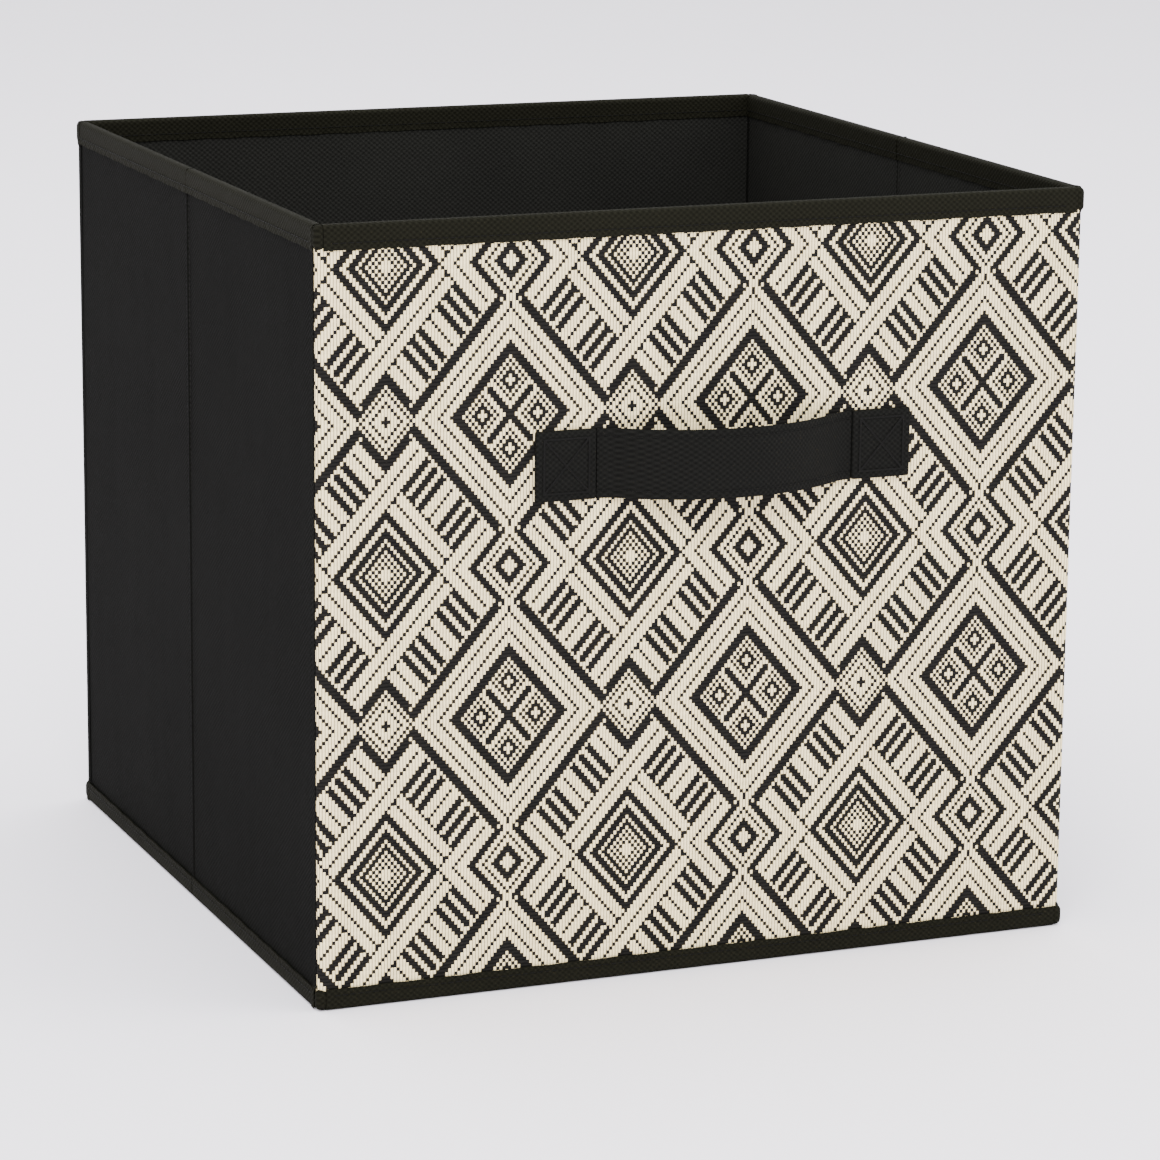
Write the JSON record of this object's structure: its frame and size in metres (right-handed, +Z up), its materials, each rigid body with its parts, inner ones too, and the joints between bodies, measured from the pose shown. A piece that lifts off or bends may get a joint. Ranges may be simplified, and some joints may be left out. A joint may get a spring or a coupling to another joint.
{
  "type": "fabric storage bin",
  "caption": "Square open-topped storage bin of fabric over board, with a patterned woven front, bound edges and a strap handle; its side walls crease inwards so that it folds flat.",
  "frame": {"origin": "middle of the footprint, on the surface the bin stands on", "axes": "+Z up; the patterned front with the handle faces -Y; +X to the right of someone facing that front"},
  "size_m": [0.3124, 0.3298, 0.295],
  "materials": {
    "jacquard": "matte",
    "cover": "matte",
    "lining": "matte",
    "binding": "matte",
    "strap": "matte",
    "thread": "satin",
    "felt": "matte",
    "board": "matte"
  },
  "bodies": {
    "front": {"base_cloth": "cover", "base_felt": "felt", "base_lining": "lining", "front_board": "board", "front_hem_binding": "binding", "front_jacquard": "jacquard", "front_lining": "lining", "front_rim_binding": "binding", "handle_patch_left": "strap", "handle_patch_right": "strap", "handle_stitching_left": "thread", "handle_stitching_right": "thread"},
    "handle": {"handle_strap": "strap"},
    "back": {"back_board": "board", "back_cover": "cover", "back_hem_binding": "binding", "back_lining": "lining", "back_rim_binding": "binding"},
    "left_front": {"left_front_board": "board", "left_front_cover": "cover", "left_front_hem_binding": "binding", "left_front_lining": "lining", "left_front_rim_binding": "binding"},
    "left_rear": {"left_rear_board": "board", "left_rear_cover": "cover", "left_rear_hem_binding": "binding", "left_rear_lining": "lining", "left_rear_rim_binding": "binding"},
    "right_front": {"right_front_board": "board", "right_front_cover": "cover", "right_front_hem_binding": "binding", "right_front_lining": "lining", "right_front_rim_binding": "binding"},
    "right_rear": {"right_rear_board": "board", "right_rear_cover": "cover", "right_rear_hem_binding": "binding", "right_rear_lining": "lining", "right_rear_rim_binding": "binding"}
  },
  "joints": [
    {"name": "fold", "type": "hinge", "parent": "front", "child": "left_front", "pos_m": [-0.1508, -0.1505, 0], "axis": [0, 0, -1], "range_deg": [0, 90], "deforming": ["base_cloth", "base_felt", "base_lining"]},
    {"name": "left_crease", "type": "hinge", "parent": "left_front", "child": "left_rear", "pos_m": [-0.1565, 0.00015, 0], "axis": [0, 0, 1], "range_deg": [0, 180]},
    {"name": "back_left_corner", "type": "hinge", "parent": "left_rear", "child": "back", "pos_m": [-0.1508, 0.1508, 0], "axis": [0, 0, -1], "range_deg": [0, 90]},
    {"name": "front_right_corner", "type": "hinge", "parent": "front", "child": "right_front", "pos_m": [0.1508, -0.1505, 0], "axis": [0, 0, 1], "range_deg": [0, 90]},
    {"name": "right_crease", "type": "hinge", "parent": "right_front", "child": "right_rear", "pos_m": [0.1565, 0.00015, 0], "axis": [0, 0, -1], "range_deg": [0, 180]},
    {"name": "handle_swing", "type": "hinge", "parent": "front", "child": "handle", "pos_m": [0.006, -0.1558, 0.201], "axis": [-1, 0, 0], "range_deg": [-30, 40], "stiffness_Nm_per_rad": 0.02, "deforming": ["handle_strap"]}
  ],
  "couplings": [
    {"joint": "left_crease", "follows": "fold", "ratio": 2},
    {"joint": "back_left_corner", "follows": "fold", "ratio": 1},
    {"joint": "front_right_corner", "follows": "fold", "ratio": 1},
    {"joint": "right_crease", "follows": "fold", "ratio": 2}
  ]
}
